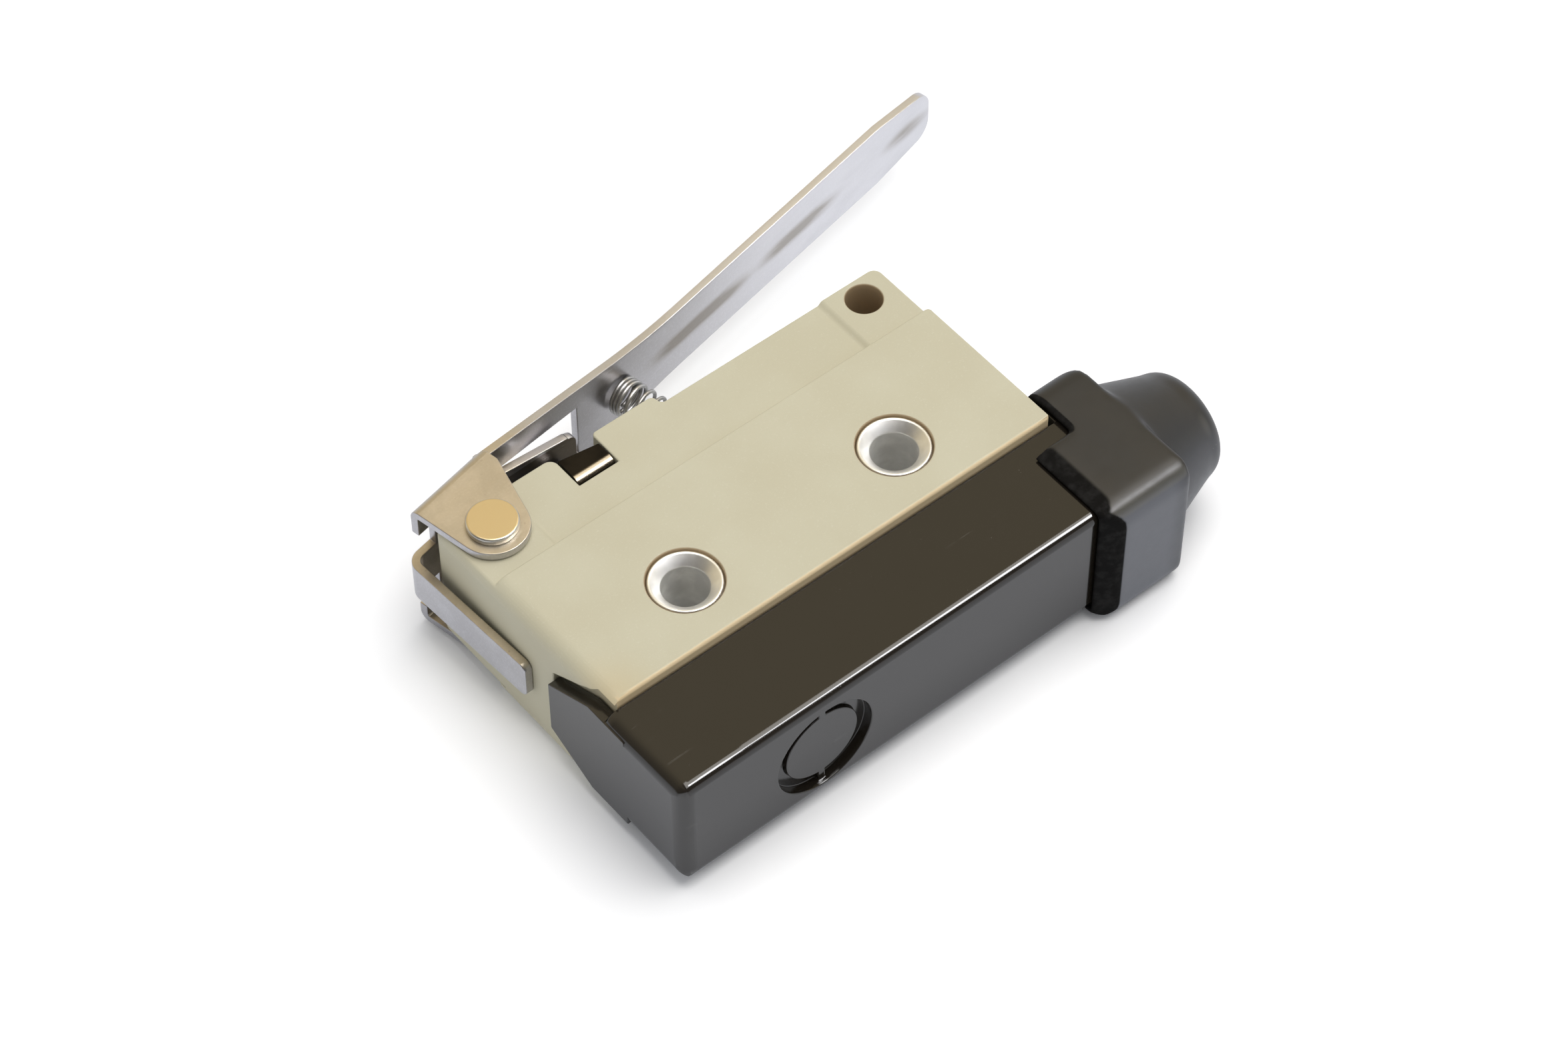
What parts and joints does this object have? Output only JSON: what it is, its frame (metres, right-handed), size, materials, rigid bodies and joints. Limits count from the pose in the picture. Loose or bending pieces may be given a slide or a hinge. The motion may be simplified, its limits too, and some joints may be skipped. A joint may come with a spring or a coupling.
{
  "type": "lever limit switch",
  "caption": "Enclosed limit switch: a moulded case with a hinged sheet-metal lever, plunger and snap contacts inside, a black terminal cover and a rubber cable boot.",
  "frame": {"origin": "midway between the two mounting holes, on the back face", "axes": "+X along the case towards the cable boot, +Y from the terminal cover to the lever, +Z out of the front face"},
  "size_m": [0.0779, 0.0581, 0.0182],
  "materials": {
    "case_plastic": "moulded beige resin with a fine satin grain",
    "eyelet_steel": "bright plated steel",
    "cover_plastic": "glossy black resin",
    "boot_rubber": "matte black rubber",
    "lever_steel": "rolled stainless sheet with warm cut edges",
    "pin_brass": "brass with a bright turned edge",
    "spring_steel": "drawn spring wire",
    "saddle_steel": "polished dark steel",
    "seal_rubber": "black rubber",
    "plunger_steel": "ground steel",
    "blade_bronze": "springy copper alloy",
    "contact_silver": "silver alloy",
    "terminal_brass": "stamped brass",
    "base_resin": "brown moulding compound",
    "screw_steel": "plated steel"
  },
  "bodies": {
    "housing": {"case": "case_plastic", "eyelet_left": "eyelet_steel", "eyelet_right": "eyelet_steel", "terminal_cover": "cover_plastic", "cable_boot": "boot_rubber", "return_spring": "spring_steel", "guide_saddle": "saddle_steel", "plunger_seal": "seal_rubber", "closed_contact": "contact_silver", "open_contact": "contact_silver", "common_terminal": "terminal_brass", "closed_terminal": "terminal_brass", "open_terminal": "terminal_brass", "terminal_base": "base_resin", "terminal_screws": "screw_steel"},
    "lever_arm": {"lever": "lever_steel", "hinge_pin": "pin_brass"},
    "push_rod": {"plunger": "plunger_steel"},
    "drive": {"drive_button": "base_resin", "overtravel_spring": "spring_steel"},
    "blade": {"moving_blade": "blade_bronze", "snap_spring": "spring_steel", "moving_contact": "contact_silver"}
  },
  "joints": [
    {"name": "lever_hinge", "type": "hinge", "parent": "housing", "child": "lever_arm", "pos_m": [-0.02267, 0.01631, 0.0085], "axis": [0, 0, 1], "range_deg": [-10.5, 0], "stiffness_Nm_per_rad": 0.3, "springref_deg": 8.59, "deforming": ["return_spring"]},
    {"name": "plunger_slide", "type": "slide", "parent": "housing", "child": "push_rod", "axis": [0, -1, 0], "range_m": [0, 0.0023], "deforming": ["overtravel_spring"]},
    {"name": "button_slide", "type": "slide", "parent": "housing", "child": "drive", "axis": [0, -1, 0], "range_m": [0, 0.0004]},
    {"name": "blade_hinge", "type": "hinge", "parent": "housing", "child": "blade", "pos_m": [-0.0205, 0.00555, 0.0085], "axis": [0, 0, 1], "range_deg": [-2.2, 0]}
  ],
  "couplings": [
    {"joint": "plunger_slide", "follows": "lever_hinge", "m_per_rad": -0.01212},
    {"joint": "button_slide", "follows": "lever_hinge", "m_per_rad": -0.00194},
    {"joint": "blade_hinge", "follows": "lever_hinge", "ratio": 0.2}
  ]
}
